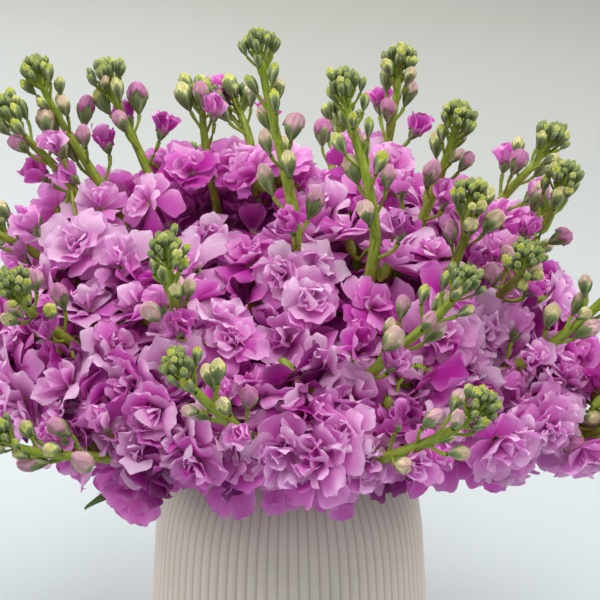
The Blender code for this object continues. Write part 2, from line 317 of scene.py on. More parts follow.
def petal_grid(rng, whorls, size, crumple):
    """Return the petals of one floret, from its outer whorl to its heart, as grids in the floret's own frame.

    The floret faces +Z, and its base is at the origin.
    """
    table = np.array([whorl for whorl in whorls for _ in range(whorl[0])], dtype=float)
    count = len(table)
    shape = (count, 1, 1)
    level = np.repeat(np.linspace(0, 1, len(whorls)), [whorl[0] for whorl in whorls])
    step = np.concatenate([np.arange(whorl[0]) / whorl[0] for whorl in whorls]) * 2 * np.pi
    azimuth = step + level * 4.1 + rng.uniform(-0.25, 0.25, count) * (1 + 2.5 * level)
    length = (size * table[:, 1] * rng.uniform(0.82, 1.12, count)).reshape(shape)
    width = (size * table[:, 2] * rng.uniform(0.84, 1.18, count)).reshape(shape)
    a0 = np.radians(table[:, 3] + rng.uniform(-13, 13, count) * (1 + level)).reshape(shape)
    bend = np.radians(table[:, 4] - table[:, 3] + rng.uniform(-28, 24, count)).reshape(shape)
    bend = np.where(np.abs(bend) < 0.05, 0.05, bend)
    level = level.reshape(shape)

    v = np.array(PETAL_ROWS)[None, :, None]
    u = np.linspace(-1.0, 1.0, PETAL_COLUMNS)[None, None, :]
    notch = rng.uniform(-0.02, 0.06, shape) * np.exp(-(u / 0.35) ** 2)
    reach = v * (1.0 - (0.13 * u**2 + notch) * v**3)
    reach = reach * (1 + 0.035 * np.sin(rng.uniform(3, 6, shape) * u + rng.uniform(0, 6.28, shape)) * v)
    angle = a0 + bend * reach
    radial = size * (0.05 - 0.03 * level) + length / bend * (np.cos(a0) - np.cos(angle))
    height = size * 0.16 * level + length / bend * (np.sin(angle) - np.sin(a0))
    across = u * width / 2 * np.array(PETAL_WIDTHS)[None, :, None]

    cup = rng.uniform(-0.22, 0.20, shape) * width
    fold = table[:, 5].reshape(shape) * rng.choice((-0.6, 1.0, 1.0), shape) * width * rng.uniform(0.3, 1.0, shape)
    ruffle = crumple * rng.uniform(0.5, 1.3, shape) * (0.9 + 0.5 * level)
    wave = np.sin(rng.uniform(1.8, 4.0, shape) * u + rng.uniform(0, 6.28, shape) + 1.2 * v)
    frill = np.sin(rng.uniform(5.0, 7.5, shape) * u + 4.0 * v + rng.uniform(0, 6.28, shape))
    swell = np.sin(rng.uniform(2.5, 5.0, shape) * v + 1.3 * u + rng.uniform(0, 6.28, shape))
    lift = cup * u**2 * np.sqrt(v) + fold * np.abs(u) ** 1.3 * v
    lift = lift + ruffle * (v**1.5 * (1.0 * wave + 0.20 * frill) + 0.7 * v * swell)
    radial = radial - lift * np.cos(angle)
    height = height + lift * np.sin(angle)

    turn = azimuth.reshape(shape) + rng.uniform(-0.35, 0.35, shape) * v
    x = radial * np.cos(turn) - across * np.sin(turn)
    y = radial * np.sin(turn) + across * np.cos(turn)
    points = np.stack(np.broadcast_arrays(x, y, height), axis=-1)
    seed = np.clip(rng.uniform(0.28, 0.74, shape) + 0.1 * level, 0, 1)
    places = np.stack(np.broadcast_arrays(u * np.ones_like(v), v * np.ones_like(u), seed), axis=-1)
    return points, places


def placed(points, centre, facing, spin, scale):
    """Move grids from a floret's own frame to their place."""
    side, up = frames_along(np.asarray(facing)[None], np.array([spin]))
    turn = np.stack([side[0], up[0], unit(facing)])
    return points * scale @ turn + centre


def stalk_grid(start, start_direction, end, end_direction, radii, sides, rows):
    """Return a thin bent tube between two points, as one grid."""
    reach = np.linalg.norm(end - start)
    t = np.linspace(0, 1, rows)[:, None]
    line = (
        (2 * t**3 - 3 * t**2 + 1) * start + (t**3 - 2 * t**2 + t) * reach * unit(start_direction)
        + (3 * t**2 - 2 * t**3) * end + (t**3 - t**2) * reach * unit(end_direction)
    )
    side, up = frames_along(np.gradient(line, axis=0), np.zeros(rows))
    turn = np.linspace(0, 2 * np.pi, sides, endpoint=False)[None, :, None]
    ring = side[:, None] * np.cos(turn) + up[:, None] * np.sin(turn)
    radius = np.interp(t[:, 0], np.linspace(0, 1, len(radii)), radii)[:, None, None]
    points = line[:, None] + ring * radius
    places = np.empty_like(points)
    places[..., 0] = np.linspace(0, 1, sides)[None]
    places[..., 1] = t
    places[..., 2] = 0.0
    return points[None], places[None]


def bud_grid(length, width, stage, seed, sides=12):
    """Return one bud in its own frame, standing on the origin along +Z.

    Four sepals clasp the petals, which swell and show more at the top as the stage goes from 0 to 1.
    """
    turn = np.linspace(0, 2 * np.pi, sides, endpoint=False)
    lobe = (0.5 + 0.5 * np.cos(4 * turn)) ** 1.3
    edge = 0.84 - 0.40 * stage + (0.11 + 0.16 * stage) * lobe
    swirl = 0.10 * stage * np.sin(2 * turn + 6.0 * seed) + 0.09 * np.sin(3 * turn + 9.0 * seed)
    crumple = stage * (0.17 * np.sin(5 * turn + 17.0 * seed) + 0.10 * np.sin(7 * turn + 5.0 * seed))
    furl = (turn * 3 / (2 * np.pi) + seed) % 1.0 - 0.5
    rows = []
    for share in (0.0, 0.15, 0.45, 0.75, 1.0):
        height = edge * share
        outline = np.sin(np.pi * np.clip(0.03 + 0.84 * height, 0, 1) ** 1.15) ** 0.85
        rows.append((height, outline * (0.93 + 0.10 * lobe), np.full(sides, share * 0.5)))
    for share in (0.0, 0.45, 0.82, 1.0):
        height = edge + (1.0 - edge) * share
        outline = np.sin(np.pi * np.clip(0.03 + 0.97 * height, 0, 1.0) ** 1.15) ** (0.66 - 0.20 * stage)
        spread = 0.84 + 0.20 * stage + swirl + crumple * (0.3 + share) + 0.26 * stage * furl * share
        rows.append((height, outline * spread, np.full(sides, 0.55 + share * 0.45)))
    heights = np.array([row[0] for row in rows])
    radii = np.array([row[1] for row in rows]) * width / 2
    twist = turn + (0.25 + 0.5 * stage) * heights
    lean = 0.10 * np.sin(9.0 * seed) * heights**2 * length
    points = np.stack([radii * np.cos(twist) + lean, radii * np.sin(twist), heights * length], axis=-1)
    around = np.broadcast_to(0.7 * lobe + 0.3 * seed, heights.shape)
    places = np.stack([np.full_like(heights, stage), np.array([row[2] for row in rows]), around], axis=-1)
    return points[None], places[None]


# Materials

def new_material(name):
    """Make an empty material and return it with its nodes and a function that links sockets."""
    material = bpy.data.materials.new(name)
    material.use_nodes = True
    nodes = material.node_tree.nodes
    nodes.clear()
    return material, nodes, material.node_tree.links.new


def maths(nodes, link, operation, a, b=None, clamp=False):
    """Add a Math node on sockets or numbers and return its output."""
    node = nodes.new("ShaderNodeMath")
    node.operation = operation
    node.use_clamp = clamp
    for socket, value in zip(node.inputs, (a, b)):
        if value is None:
            continue
        if isinstance(value, (int, float)):
            socket.default_value = value
        else:
            link(value, socket)
    return node.outputs[0]


def ramp(nodes, link, value, *stops):
    """Add a colour ramp with stops of (place, colour) and return its colour."""
    node = nodes.new("ShaderNodeValToRGB")
    elements = node.color_ramp.elements
    while len(elements) < len(stops):
        elements.new(1.0)
    for element, (place, colour) in zip(elements, stops):
        element.position = place
        element.color = (*colour, 1.0)
    link(value, node.inputs[0])
    return node.outputs[0]


def mixed(nodes, link, share, a, b, blend="MIX"):
    """Mix two colours by a share and return the result."""
    node = nodes.new("ShaderNodeMix")
    node.data_type = "RGBA"
    node.blend_type = blend
    node.clamp_factor = True
    for socket, value in ((node.inputs[0], share), (node.inputs[6], a), (node.inputs[7], b)):
        if isinstance(value, (int, float)):
            socket.default_value = value
        elif isinstance(value, tuple):
            socket.default_value = (*value, 1.0)
        else:
            link(value, socket)
    return node.outputs[2]


def noise(nodes, link, vector, scale, detail=3.0, roughness=0.55):
    """Add a noise texture and return its value."""
    node = nodes.new("ShaderNodeTexNoise")
    node.inputs["Scale"].default_value = scale
    node.inputs["Detail"].default_value = detail
    node.inputs["Roughness"].default_value = roughness
    if vector is not None:
        link(vector, node.inputs["Vector"])
    return node.outputs[0]


def place_sockets(nodes, link):
    """Return the three numbers of the pieces' own place attribute."""
    attribute = nodes.new("ShaderNodeAttribute")
    attribute.attribute_name = "place"
    split = nodes.new("ShaderNodeSeparateXYZ")
    link(attribute.outputs["Vector"], split.inputs[0])
    return split.outputs[0], split.outputs[1], split.outputs[2]


def object_place(nodes):
    """Return the object coordinates."""
    return nodes.new("ShaderNodeTexCoord").outputs["Object"]


def bumped(nodes, link, height, strength, distance):
    """Add a bump node and return its normal."""
    node = nodes.new("ShaderNodeBump")
    node.inputs["Strength"].default_value = strength
    node.inputs["Distance"].default_value = distance
    link(height, node.inputs["Height"])
    return node.outputs[0]


def shader(nodes, link, colour, roughness, normal=None, specular=0.35):
    """Add a Principled shader and return it."""
    node = nodes.new("ShaderNodeBsdfPrincipled")
    link(colour, node.inputs["Base Color"])
    if isinstance(roughness, float):
        node.inputs["Roughness"].default_value = roughness
    else:
        link(roughness, node.inputs["Roughness"])
    node.inputs["Specular IOR Level"].default_value = specular
    if normal is not None:
        link(normal, node.inputs["Normal"])
    return node


def finish_material(nodes, link, surface):
    """Join the last shader to the material's output."""
    output = nodes.new("ShaderNodeOutputMaterial")
    link(surface, output.inputs["Surface"])


def petal_material():
    """Thin, soft petals: lilac pink with pale edges, fine veins, a cream-green claw and painted shade at the foot,
    lit through from behind.
    """
    material, nodes, link = new_material("petal")
    u, v, seed = place_sockets(nodes, link)
    # The third number of place is a tone: random for each floret and petal, with painted shade where florets lie
    # deep, sunk, low or in the under layer
    tone = ramp(nodes, link, seed, (0.0, (0.16, 0.003, 0.10)), (0.1, (0.58, 0.010, 0.42)),
                (0.32, (0.84, 0.22, 0.69)), (0.62, (0.94, 0.57, 0.84)), (1.0, (0.98, 0.88, 0.94)))
    cloud = noise(nodes, link, object_place(nodes), 55.0, 2.0)
    tone = mixed(nodes, link, maths(nodes, link, "MULTIPLY", cloud, 0.25), tone, (0.70, 0.10, 0.58))
    edge = maths(nodes, link, "POWER", maths(nodes, link, "ABSOLUTE", u), 3.0)
    edge = maths(nodes, link, "MAXIMUM", edge, maths(nodes, link, "POWER", v, 6.0))
    # Pale edges and pale veins show only where the tone is high: paler at random and less darkened by painted shade
    pale_and_lit_share = maths(nodes, link, "ADD", maths(nodes, link, "MULTIPLY", seed, 1.25), 0.22, True)
    edge = maths(nodes, link, "MULTIPLY", edge, maths(nodes, link, "MULTIPLY", pale_and_lit_share, 0.55))
    tone = mixed(nodes, link, edge, tone, (0.99, 0.88, 0.97))
    # Painted shade: each petal is darker and deeper magenta towards its foot, where the petals overlap
    inner = maths(nodes, link, "POWER", maths(nodes, link, "SUBTRACT", 1.0, v, True), 1.6)
    tone = mixed(nodes, link, maths(nodes, link, "MULTIPLY", inner, 0.35), tone, (0.62, 0.012, 0.46))
    combine = nodes.new("ShaderNodeCombineXYZ")
    link(maths(nodes, link, "MULTIPLY", u, 12.0), combine.inputs[0])
    link(maths(nodes, link, "MULTIPLY", v, 1.6), combine.inputs[1])
    link(maths(nodes, link, "MULTIPLY", seed, 60.0), combine.inputs[2])
    veins = noise(nodes, link, combine.outputs[0], 1.6, 4.0, 0.6)
    dark = maths(nodes, link, "MULTIPLY", maths(nodes, link, "SUBTRACT", veins, 0.43), 2.4, True)
    tone = mixed(nodes, link, maths(nodes, link, "MULTIPLY", dark, 0.6), tone, (0.68, 0.08, 0.54))
    pale = maths(nodes, link, "MULTIPLY", maths(nodes, link, "SUBTRACT", 0.44, veins), 2.4, True)
    tone = mixed(nodes, link, maths(nodes, link, "MULTIPLY", pale, pale_and_lit_share), tone, (0.97, 0.76, 0.96))
    claw = maths(nodes, link, "SUBTRACT", 1.0, maths(nodes, link, "MULTIPLY", v, 5.5), True)
    tone = mixed(nodes, link, claw, tone, (0.74, 0.66, 0.42))
    normal = bumped(nodes, link, veins, 0.35, 0.0006)
    skin = shader(nodes, link, tone, 0.5, normal, 0.10)
    through = nodes.new("ShaderNodeBsdfTranslucent")
    link(mixed(nodes, link, 1.0, tone, (1.0, 0.42, 1.0), "MULTIPLY"), through.inputs["Color"])
    link(normal, through.inputs["Normal"])
    mix = nodes.new("ShaderNodeMixShader")
    mix.inputs[0].default_value = 0.38
    link(skin.outputs[0], mix.inputs[1])
    link(through.outputs[0], mix.inputs[2])
    finish_material(nodes, link, mix.outputs[0])
    return material


def bud_material():
    """Buds: powdery grey-green sepals, and petals from yellow-green through cream to pink as they swell, with
    painted shade in their creases and between the sepals.
    """
    material, nodes, link = new_material("bud")
    stage, height, lobe = place_sockets(nodes, link)
    sepal = ramp(nodes, link, height, (0.0, (0.20, 0.28, 0.03)), (0.2, (0.11, 0.17, 0.035)),
                 (0.42, (0.19, 0.26, 0.07)), (0.5, (0.38, 0.45, 0.17)))
    powder = noise(nodes, link, object_place(nodes), 900.0, 3.0, 0.65)
    sepal = mixed(nodes, link, maths(nodes, link, "MULTIPLY", powder, 0.3), sepal, (0.50, 0.54, 0.36))
    combine = nodes.new("ShaderNodeCombineXYZ")
    link(maths(nodes, link, "MULTIPLY", lobe, 9.0), combine.inputs[0])
    link(maths(nodes, link, "MULTIPLY", height, 3.0), combine.inputs[1])
    streak = noise(nodes, link, combine.outputs[0], 1.0, 2.0)
    streak = maths(nodes, link, "MULTIPLY", maths(nodes, link, "SUBTRACT", streak, 0.42), 3.5, True)
    sepal = mixed(nodes, link, streak, sepal, (0.045, 0.08, 0.02))
    seam = maths(nodes, link, "SUBTRACT", 1.0, maths(nodes, link, "MULTIPLY", lobe, 2.2), True)
    sepal = mixed(nodes, link, maths(nodes, link, "MULTIPLY", seam, 0.6), sepal, (0.50, 0.56, 0.28))
    young = ramp(nodes, link, stage, (0.0, (0.26, 0.33, 0.06)), (0.42, (0.66, 0.72, 0.09)),
                 (0.60, (0.84, 0.80, 0.36)), (0.78, (0.82, 0.50, 0.58)), (1.0, (0.55, 0.13, 0.44)))
    fringe = maths(nodes, link, "MULTIPLY", maths(nodes, link, "SUBTRACT", height, 0.80), 4.0, True)
    fringe = maths(nodes, link, "MULTIPLY", fringe, maths(nodes, link, "MULTIPLY", stage, 0.8))
    young = mixed(nodes, link, fringe, young, (0.62, 0.20, 0.50))
    # Painted shade: the bud's petals are darker between the sepals' lobes
    shade = mixed(nodes, link, lobe, (0.72, 0.76, 0.60), (1.0, 1.0, 1.0))
    petal = mixed(nodes, link, 1.0, young, shade, "MULTIPLY")
    furrow = nodes.new("ShaderNodeCombineXYZ")
    link(maths(nodes, link, "MULTIPLY", lobe, 15.0), furrow.inputs[0])
    link(maths(nodes, link, "MULTIPLY", height, 4.0), furrow.inputs[1])
    wrinkle = noise(nodes, link, furrow.outputs[0], 1.0, 3.0, 0.6)
    # Painted shade in the creases of the bud's petals
    crease_shade = maths(nodes, link, "MULTIPLY", maths(nodes, link, "SUBTRACT", wrinkle, 0.46), 4.5, True)
    crease_shade = maths(nodes, link, "MULTIPLY", crease_shade, 0.8)
    petal = mixed(nodes, link, crease_shade, petal, (0.62, 0.46, 0.44), "MULTIPLY")
    above = maths(nodes, link, "GREATER_THAN", height, 0.525)
    colour = mixed(nodes, link, above, sepal, petal)
    relief = maths(nodes, link, "SUBTRACT", maths(nodes, link, "MULTIPLY", powder, 0.25), wrinkle)
    normal = bumped(nodes, link, relief, 0.6, 0.0012)
    skin = shader(nodes, link, colour, 0.62, normal, 0.3)
    finish_material(nodes, link, skin.outputs[0])
    return material


def stem_material():
    """Stems: smooth yellow-green, paler and bloomed in streaks along their length."""
    material, nodes, link = new_material("stem")
    around, height, seed = place_sockets(nodes, link)
    combine = nodes.new("ShaderNodeCombineXYZ")
    link(maths(nodes, link, "MULTIPLY", around, 14.0), combine.inputs[0])
    link(maths(nodes, link, "MULTIPLY", height, 9.0), combine.inputs[1])
    link(seed, combine.inputs[2])
    streak = noise(nodes, link, combine.outputs[0], 1.0, 4.0)
    tone = ramp(nodes, link, streak, (0.25, (0.13, 0.19, 0.008)), (0.5, (0.23, 0.31, 0.020)),
                (0.75, (0.40, 0.46, 0.07)))
    normal = bumped(nodes, link, streak, 0.15, 0.0004)
    skin = shader(nodes, link, tone, 0.48, normal, 0.4)
    finish_material(nodes, link, skin.outputs[0])
    return material


def leaf_material():
    """Leaves: deep green with a paler midrib and side veins."""
    material, nodes, link = new_material("leaf")
    u, v, seed = place_sockets(nodes, link)
    off_rib = maths(nodes, link, "ABSOLUTE", u)
    rib = maths(nodes, link, "SUBTRACT", 1.0, maths(nodes, link, "MULTIPLY", off_rib, 9.0), True)
    slant = maths(nodes, link, "MULTIPLY", off_rib, -9.0)
    slant = maths(nodes, link, "ADD", maths(nodes, link, "MULTIPLY", v, 60.0), slant)
    side = maths(nodes, link, "POWER", maths(nodes, link, "ABSOLUTE", maths(nodes, link, "SINE", slant)), 14.0)
    mottle = noise(nodes, link, object_place(nodes), 260.0, 4.0)
    tone = ramp(nodes, link, mottle, (0.3, (0.045, 0.135, 0.018)), (0.7, (0.105, 0.235, 0.038)))
    tone = mixed(nodes, link, maths(nodes, link, "MULTIPLY", side, 0.3), tone, (0.20, 0.30, 0.10))
    tone = mixed(nodes, link, maths(nodes, link, "MULTIPLY", rib, 0.75), tone, (0.34, 0.42, 0.17))
    normal = bumped(nodes, link, maths(nodes, link, "ADD", mottle, side), 0.35, 0.0006)
    skin = shader(nodes, link, tone, 0.45, normal, 0.4)
    finish_material(nodes, link, skin.outputs[0])
    return material


def ceramic_material():
    """Matte off-white ceramic with fine speckle, and painted shade in the grooves between the ribs."""
    material, nodes, link = new_material("ceramic")
    _, rise, _ = place_sockets(nodes, link)
    where = object_place(nodes)
    cloud = noise(nodes, link, where, 28.0, 3.0)
    grain = noise(nodes, link, where, 1400.0, 2.0, 0.7)
    tone = ramp(nodes, link, cloud, (0.3, (0.625, 0.553, 0.488)), (0.7, (0.68, 0.608, 0.54)))
    tone = mixed(nodes, link, maths(nodes, link, "MULTIPLY", grain, 0.16), tone, (0.45, 0.39, 0.33))
    # Painted shade in the grooves between the ribs
    groove_shade = maths(nodes, link, "SUBTRACT", 1.0, maths(nodes, link, "MULTIPLY", rise, 1.6), True)
    tone = mixed(nodes, link, maths(nodes, link, "MULTIPLY", groove_shade, 0.42), tone, (0.27, 0.21, 0.16))
    normal = bumped(nodes, link, grain, 0.3, 0.0004)
    rough = maths(nodes, link, "ADD", 0.55, maths(nodes, link, "MULTIPLY", grain, 0.2))
    skin = shader(nodes, link, tone, rough, normal, 0.3)
    finish_material(nodes, link, skin.outputs[0])
    return material


def floor_material():
    """Plain pale floor, with painted light and shade: a little darker and warmer towards the back, and paler
    towards the left.
    """
    material, nodes, link = new_material("floor")
    split = nodes.new("ShaderNodeSeparateXYZ")
    link(object_place(nodes), split.inputs[0])
    # Painted light and shade: darker and warmer towards the back, paler towards the front and the left
    leftward = maths(nodes, link, "MULTIPLY", maths(nodes, link, "MINIMUM", split.outputs[0], 0.0), 0.75)
    back = maths(nodes, link, "MULTIPLY", split.outputs[1], 0.55)
    back = maths(nodes, link, "ADD", back, leftward, True)
    tone = ramp(nodes, link, back, (0.05, (0.46, 0.500, 0.512)), (0.5, (0.395, 0.410, 0.395)),
                (1.0, (0.355, 0.355, 0.325)))
    skin = shader(nodes, link, tone, 0.8, None, 0.2)
    finish_material(nodes, link, skin.outputs[0])
    return material


# Pieces

def smooth_profile(points, count):
    """Return evenly spaced points on a smooth curve through a profile's points."""
    points = np.array(points, dtype=float)
    length = np.concatenate(([0.0], np.cumsum(np.linalg.norm(np.diff(points, axis=0), axis=1))))
    tangents = np.gradient(points, length, axis=0)
    places = np.linspace(0, length[-1], count)
    i = np.clip(np.searchsorted(length, places, side="right") - 1, 0, len(points) - 2)
    step = (length[i + 1] - length[i])[:, None]
    t = (places - length[i])[:, None] / step
    return (
        (2 * t**3 - 3 * t**2 + 1) * points[i] + (t**3 - 2 * t**2 + t) * step * tangents[i]
        + (3 * t**2 - 2 * t**3) * points[i + 1] + (t**3 - t**2) * step * tangents[i + 1]
    )


def build_vase(material):
    """Make the vase's shell, with fine convex ribs round its outer side."""
    parts = Parts()
    outer = smooth_profile(VASE_OUTER, 64)
    in_rib = np.array((0.0, 0.09, 0.24, 0.5, 0.76, 0.91))
    turn = ((np.arange(RIBS)[:, None] + in_rib[None]) * 2 * np.pi / RIBS).ravel()
    arch = np.tile(1 - np.abs(2 * in_rib - 1) ** 2.2, RIBS)
    fade = np.clip((170.5 - outer[:, 1]) / 5, 0, 1) * np.clip((outer[:, 1] - 2.5) / 4, 0, 1)
    radius = outer[:, :1] - RIB_DEPTH * fade[:, None] * (1 - arch)[None]
    height = np.broadcast_to(outer[:, 1:] - VASE_HEIGHT, radius.shape)
    points = np.stack([radius * np.cos(turn), radius * np.sin(turn), height], axis=-1)
    rise = 1 - fade[:, None] * (1 - arch)[None]
    places = np.stack([np.zeros_like(rise), rise, np.zeros_like(rise)], axis=-1)
    parts.grids(points[None], places[None], around=True)
    inner = smooth_profile(VASE_INNER, 40)
    inner = np.concatenate([[(0.01, VASE_FLOOR)], inner])
    base = np.array((VASE_OUTER[-1], (0.01, 0.0)))
    turn = np.linspace(0, 2 * np.pi, 172, endpoint=False)
    for profile in (inner, base):
        points = np.stack([
            profile[:, :1] * np.cos(turn), profile[:, :1] * np.sin(turn),
            np.broadcast_to(profile[:, 1:] - VASE_HEIGHT, (len(profile), len(turn))),
        ], axis=-1)
        parts.grids(points[None, ::-1], np.array((0.0, 1.0, 0.0)), around=True)
    add_piece("ribbed_vase", parts.mesh("ribbed_vase"), [material], "vase", "vase")


def build_stalk(number, line, material):
    """Make one stem, with low ridges along it, swollen a little where the lower buds part from it."""
    rng = np.random.default_rng(700 + number)
    parts = Parts()
    line = line[np.unique(np.linspace(0, len(line) - 1, 62).astype(int))]
    rows, sides = len(line), 10
    t = np.linspace(0, 1, rows)
    turn = np.linspace(0, 2 * np.pi, sides, endpoint=False)
    side, up = frames_along(np.gradient(line, axis=0), np.zeros(rows))
    radius = np.interp(t, (0, STEM_TAPER_START, 1), (STEM_RADIUS, STEM_RADIUS, STEM_TIP_RADIUS))
    radius = radius * (1 + 0.05 * np.sin(t * 40 + rng.uniform(0, 6.28)) * (t > 0.6))
    ridge = 1 + 0.05 * np.cos(4 * turn[None] + 2.5 * t[:, None])
    ring = side[:, None] * np.cos(turn)[None, :, None] + up[:, None] * np.sin(turn)[None, :, None]
    points = line[:, None] + ring * (radius[:, None] * ridge)[..., None]
    ends = [points[:1] * 0 + line[0], points, points[-1:] * 0 + line[-1]]
    points = np.concatenate(ends)
    places = np.empty_like(points)
    places[..., 0] = np.linspace(0, 1, sides)[None]
    places[..., 1] = np.linspace(0, 1, rows + 2)[:, None] * 8
    places[..., 2] = number
    parts.grids(points[None], places[None], around=True)
    name = f"stem_{number:02d}"
    add_piece(f"stalk_{number:02d}", parts.mesh(name), [material], "stem", name)


def dome_places(step, inset, seed):
    """Return points spread evenly over the dome of florets, and the dome's outward direction at each."""
    rng = np.random.default_rng(seed)
    outline = smooth_profile(DOME, 400)
    outline[:, 0] = np.maximum(outline[:, 0], 0)
    tangent = unit(np.gradient(outline, axis=0))
    normal = np.column_stack([-tangent[:, 1], tangent[:, 0]])
    outline = outline - normal * inset
    outline[:, 0] = np.maximum(outline[:, 0], 0)
    lengths = np.linalg.norm(np.diff(outline, axis=0), axis=1)
    bands = np.concatenate(([0.0], np.cumsum(lengths * (outline[1:, 0] + outline[:-1, 0]) * np.pi)))
    count = int(bands[-1] / (step * step * 0.866))
    share = (np.arange(count) + 0.5) / count * bands[-1]
    index = np.interp(share, bands, np.arange(len(outline)))
    radius, height = (np.interp(index, np.arange(len(outline)), outline[:, k]) for k in (0, 1))
    out, rise = (np.interp(index, np.arange(len(outline)), normal[:, k]) for k in (0, 1))
    turn = np.arange(count) * GOLDEN_ANGLE + rng.uniform(-0.5, 0.5, count) * 5.0 / np.maximum(radius, 12)
    leftward = np.clip(-np.cos(turn), 0, 1) * np.clip(height / 110, 0, 1)
    sideward = np.abs(np.cos(turn))
    height = height + LEFT_LIFT * leftward * np.clip(radius / 120, 0, 1) ** 2
    frontward = np.clip((20 - radius * np.sin(turn) * DOME_DEPTH) / 80, 0, 1)
    height = height - FRONT_DROP * frontward * np.clip((height - 45) / 50, 0, 1)
    radius = radius * (1 + LEFT_SHOULDER * leftward + SIDE_SHOULDER * sideward)
    centres = np.column_stack([radius * np.cos(turn), radius * np.sin(turn) * DOME_DEPTH, height])
    normals = unit(np.column_stack([out * np.cos(turn), out * np.sin(turn) / DOME_DEPTH, rise]))
    normals = normals * np.sign(np.sum(normals * centres, axis=1))[:, None]
    return centres + rng.uniform(-4.0, 4.0, (count, 3)), normals


def nearest_spike(point, lines):
    """Return the spike whose petal zone is nearest to a point, with the distance and the nearest place on it."""
    best = None
    for number, line in enumerate(lines):
        gap = np.linalg.norm(line - point, axis=1)
        k = int(np.argmin(gap))
        if best is None or gap[k] < best[1]:
            best = (number, gap[k], line[k])
    return best


def below_stems(centre, normal, bare, depth):
    """Return a floret's centre, moved inwards where it would cover a bare stem."""
    gaps = centre - bare
    above = gaps @ normal
    beside = np.linalg.norm(gaps - above[:, None] * normal, axis=1)
    reach = np.clip(1.15 - beside / VALLEY_WIDTH, 0, 1)
    drop = (above + depth) * reach * reach * (3 - 2 * reach)
    return centre - normal * min(max(drop.max(), 0.0), VALLEY_MOST)


def build_florets(lines, materials):
    """Fill the dome with florets, each borne by the nearest spike, and make one piece of every spike's florets."""
    heads = [Parts() for _ in lines]
    zones, bare = [], []
    for line, (exit_point, _, _) in zip(lines, SPIKES):
        above = along_line(line)
        last = int(np.argmin(np.linalg.norm(line - exit_point, axis=1)))
        if len(zones) + 1 in BURIED:
            last = int(np.searchsorted(above, above[-1] - BURIED_TIP))
        else:
            bare.append(line[last + 1:])
        zones.append(line[(above > 22) & (np.arange(len(line)) <= last)])
    bare = np.concatenate(bare)
    rng = np.random.default_rng(11)
    full = [petal_grid(np.random.default_rng(50 + k), whorls, FLORET_SIZE, 1.3)
            for k, whorls in enumerate((FLAT_WHORLS, LOOSE_WHORLS, CUPPED_WHORLS) * 5)]
    plain = [petal_grid(np.random.default_rng(80 + k), FLAT_WHORLS[:2], FLORET_SIZE, 2.4) for k in range(4)]
    layers = ((FLORET_STEP, OUTER_DEPTH, full, 21), (UNDER_STEP, UNDER_DEPTH, plain, 22))
    for step, inset, variants, seed in layers:
        for centre, normal in zip(*dome_places(step, inset, seed)):
            number, gap, root = nearest_spike(centre, zones)
            away = unit(centre - root)
            sunk = min(gap / CELL_RADIUS, 1.0)
            if variants is full:
                centre = centre + normal * (BULGE - GROOVE * sunk**1.6 + rng.uniform(-3.5, 3.5))
                beside = centre - lines[number][np.argmin(np.linalg.norm(lines[number] - centre, axis=1))]
                crowding = STEM_CLEARING - np.linalg.norm(beside)
                centre = centre + unit(beside) * max(crowding, 0.0)
                if centre[0] < FREE_FROM or normal[2] > FREE_RISE:
                    centre = below_stems(centre, normal, bare, VALLEY_DEPTH)
            else:
                centre = below_stems(centre, normal, bare, VALLEY_DEPTH + 12.0)
            facing = unit(normal + (0.3 + 0.9 * sunk) * away + rng.normal(0, 0.34, 3))
            choice = full if centre[2] < LOW_EDGE else variants
            grid, places = choice[rng.integers(len(choice))]
            scale = rng.uniform(0.80, 1.16)
            base = centre - facing * 7.0
            # A random tone, with painted shade that darkens florets which sink towards the grooves between the
            # spikes
            tone = rng.uniform(-0.25, 0.35) - 0.10 * sunk
            # Painted shade: the under layer, deep in the dome, gets the lowest tone
            if choice is plain:
                tone = UNDER_SHADE
            # Painted shade: florets low in the bunch get a lower tone
            tone = tone + np.interp(centre[2], (10, 80), (LOW_SHADE, 0.0))
            petals = placed(grid, base, facing, rng.uniform(0, 6.28), scale)
            raised = (0, 0, max(np.interp(centre[0], EDGE_X, EDGE_Z) - petals[..., 2].min(), 0.0))
            places = places.copy()
            # Painted shade: petals that lie deeper in the dome get a lower tone
            places[..., 2] = places[..., 2] + tone + DEPTH_SHADE * ((petals - centre) @ normal)
            least = 0.0 if choice is plain else np.interp(centre[2], (15, 60), (LEAST_LOW_TONE, LEAST_TONE))
            heads[number].grids(petals + raised, np.clip(places, (-1, 0, least), (1, 1, 1)))
            cup = base + raised - facing * CALYX
            for start, way, end, radii, sides in (
                (root, away, cup, (1.0, 1.0, 1.0, 1.2), 5),
                (cup, facing, cup + facing * (CALYX + 0.6), (1.2, 2.7, 3.0, 2.3), 6),
            ):
                stalk, where = stalk_grid(start, way, end, facing, radii, sides, 4)
                heads[number].grids(stalk, where, around=True, kind=1)
    for k, parts in enumerate(heads):
        if parts.count:
            name = f"florets_{k + 1:02d}"
            add_piece(name, parts.mesh(name), materials, "flower_head", f"flower_head_{k + 1:02d}")


